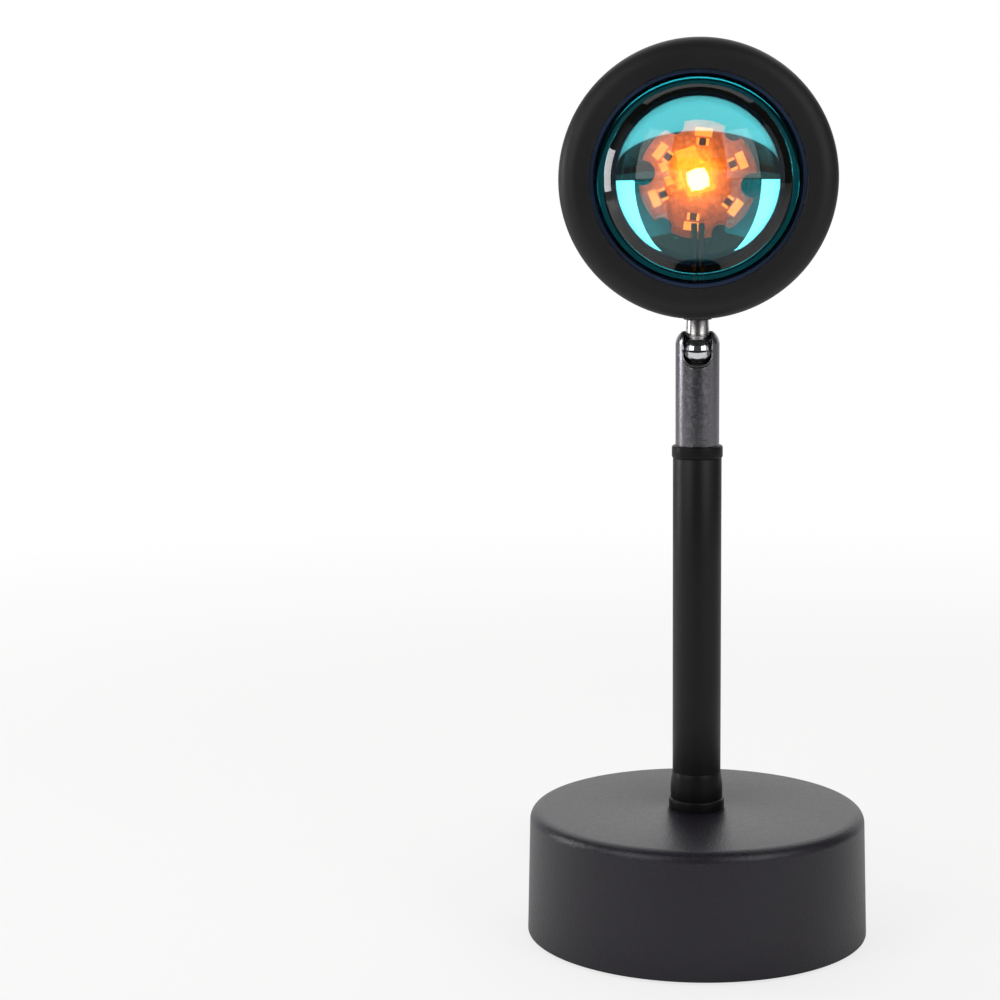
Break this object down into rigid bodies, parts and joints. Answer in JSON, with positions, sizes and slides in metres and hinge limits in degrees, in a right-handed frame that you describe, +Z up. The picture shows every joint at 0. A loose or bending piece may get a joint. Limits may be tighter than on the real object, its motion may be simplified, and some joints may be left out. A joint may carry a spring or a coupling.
{
  "type": "sunset projection lamp",
  "caption": "Round weighted base, slim pole and a slotted ball swivel that carry a drum head with a domed lens; the cord behind it has a push switch and a plug.",
  "frame": {"origin": "centre of the base on the surface that it stands on", "axes": "+Z up along the pole; the light leaves along -Y; the cord leaves the base at the back, towards +Y and +X"},
  "size_m": [0.095, 0.1795, 0.2472],
  "materials": {
    "base_plastic": "matte",
    "cover_plastic": "matte",
    "iron": "matte",
    "zinc_steel": "satin",
    "black_steel": "satin",
    "foam": "matte",
    "relief_rubber": "matte",
    "pole_black": "satin",
    "tube_black": "satin",
    "plug_brass": "satin",
    "spring_steel": "polished",
    "seat_plastic": "matte",
    "satin_nickel": "satin",
    "wire": "satin",
    "stud_chrome": "polished",
    "head_black": "matte",
    "coated_glass": "polished",
    "gasket_rubber": "matte",
    "ring_plastic": "matte",
    "plate_aluminium": "satin",
    "thermal_rubber": "matte",
    "board": "satin",
    "chip": "gloss",
    "board_part": "matte",
    "cord": "satin",
    "tie_plastic": "matte",
    "switch_plastic": "matte",
    "module_plastic": "matte",
    "button_plastic": "satin",
    "plug_plastic": "satin",
    "plug_steel": "satin",
    "tongue_plastic": "satin",
    "contact_brass": "polished"
  },
  "bodies": {
    "base": {"base_shell": "base_plastic", "base_weight": "iron", "base_cover": "cover_plastic", "cover_screws": "zinc_steel", "base_pad": "foam", "strain_relief": "relief_rubber", "pole_nipple": "zinc_steel", "nipple_washer": "zinc_steel", "nipple_nut": "zinc_steel", "pole_foot": "pole_black", "pole_tube": "tube_black", "pole_collar": "pole_black", "swivel_plug": "plug_brass", "swivel_spring": "spring_steel", "ball_seat": "seat_plastic", "swivel_housing": "satin_nickel", "pole_wires": "wire", "cord_lead": "cord", "cord_run": "cord", "cord_coil": "cord", "cord_end": "cord", "cord_tie": "tie_plastic", "switch_base": "switch_plastic", "switch_top": "switch_plastic", "switch_screws": "zinc_steel", "switch_module": "module_plastic", "plug_body": "plug_plastic", "plug_shell": "plug_steel", "plug_tongue": "tongue_plastic", "plug_contacts": "contact_brass"},
    "stud": {"ball_stud": "stud_chrome", "stud_washer": "zinc_steel", "stud_nut": "zinc_steel", "stud_wires": "wire"},
    "head": {"head_shell": "head_black", "front_bezel": "head_black", "lens": "coated_glass", "lens_gasket": "gasket_rubber", "lens_retainer": "ring_plastic", "mount_plate": "plate_aluminium", "plate_screws": "zinc_steel", "thermal_pad": "thermal_rubber", "led_board": "board", "led_chip": "chip", "board_parts": "board_part", "board_screws": "zinc_steel", "head_wires": "wire", "back_cover": "head_black", "back_screws": "black_steel"},
    "button": {"switch_button": "button_plastic"}
  },
  "joints": [
    {"name": "neck_tilt", "type": "hinge", "parent": "base", "child": "stud", "pos_m": [0, 0, 0.1638], "axis": [1, 0, 0], "range_deg": [-5, 90]},
    {"name": "head_swivel", "type": "hinge", "parent": "stud", "child": "head", "pos_m": [0, 0, 0.1638], "axis": [0, 0, 1], "range_deg": [-170, 170]},
    {"name": "switch_press", "type": "slide", "parent": "base", "child": "button", "axis": [0, 0, -1], "range_m": [0, 0.001], "stiffness_N_per_m": 500, "springref_m": -0.0005}
  ]
}
